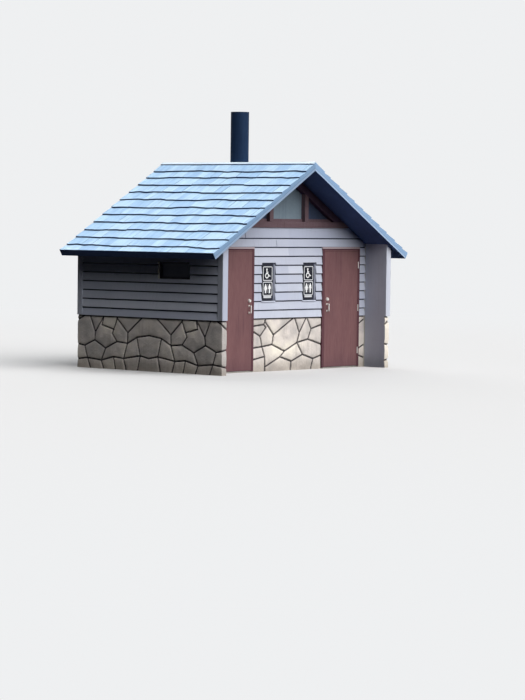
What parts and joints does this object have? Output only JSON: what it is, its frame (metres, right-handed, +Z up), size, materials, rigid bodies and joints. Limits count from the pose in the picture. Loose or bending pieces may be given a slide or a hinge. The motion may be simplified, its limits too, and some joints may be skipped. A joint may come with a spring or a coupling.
{
  "type": "twin-door restroom hut",
  "caption": "Free-standing restroom hut: lap-board and stone-base wall panels, hinged doors in a shallow porch under a ridge roof with a glazed gable and a vent stack.",
  "frame": {"origin": "centre of the footprint at ground level, under the middle of the ridge", "axes": "+Z up; +Y towards the rear wall, so the doors face -Y; +X to the right for someone facing the doors"},
  "size_m": [5.1036, 3.56, 4.452],
  "materials": {
    "wall_panel": "painted precast concrete, lap-board and field-stone relief",
    "floor_concrete": "brushed concrete",
    "roof_panel": "painted precast concrete, shake relief",
    "gable_trim": "brown paint",
    "gable_pane": "weathered translucent sheet",
    "stack": "black pipe",
    "flashing": "dark paint",
    "window_frame": "dark brown paint",
    "window_pane": "dark tinted sheet",
    "door_paint": "brown enamel on steel",
    "threshold_metal": "mill finish",
    "hardware": "satin",
    "sign_board": "dark grey paint",
    "sign_plaque": "engraved plate, plain white figures"
  },
  "bodies": {
    "root": {"floor_slab": "floor_concrete", "left_side_wall": "wall_panel", "right_side_wall": "wall_panel", "rear_wall": "wall_panel", "front_strip_left": "wall_panel", "front_strip_right": "wall_panel", "front_pier": "wall_panel", "front_header": "wall_panel", "gable_beam": "gable_trim", "gable_post_left": "gable_trim", "gable_post_right": "gable_trim", "rake_trim_left": "gable_trim", "rake_trim_right": "gable_trim", "gable_pane_left": "gable_pane", "gable_pane_middle": "gable_pane", "gable_pane_right": "gable_pane", "roof_left": "roof_panel", "roof_right": "roof_panel", "ridge_cap": "roof_panel", "vent_stack": "stack", "stack_flashing": "flashing", "left_window_frame": "window_frame", "right_window_frame": "window_frame", "left_window_pane": "window_pane", "right_window_pane": "window_pane", "left_door_frame": "door_paint", "right_door_frame": "door_paint", "left_threshold": "threshold_metal", "right_threshold": "threshold_metal", "left_hinge_jamb_plates": "hardware", "right_hinge_jamb_plates": "hardware", "left_sign_board": "sign_board", "right_sign_board": "sign_board", "left_sign_plaques": "sign_plaque", "right_sign_plaques": "sign_plaque"},
    "left_door": {"left_door_leaf": "door_paint", "left_hinge_leaf_plates": "hardware", "left_door_lock": "hardware", "left_door_pull": "hardware"},
    "right_door": {"right_door_leaf": "door_paint", "right_hinge_leaf_plates": "hardware", "right_door_lock": "hardware", "right_door_pull": "hardware"}
  },
  "joints": [
    {"name": "left_door_hinge", "type": "hinge", "parent": "root", "child": "left_door", "pos_m": [-1.8545, -1.226, 1.05], "axis": [0, 0, -1], "range_deg": [0, 105]},
    {"name": "right_door_hinge", "type": "hinge", "parent": "root", "child": "right_door", "pos_m": [1.8545, -1.226, 1.05], "axis": [0, 0, 1], "range_deg": [0, 105]}
  ]
}
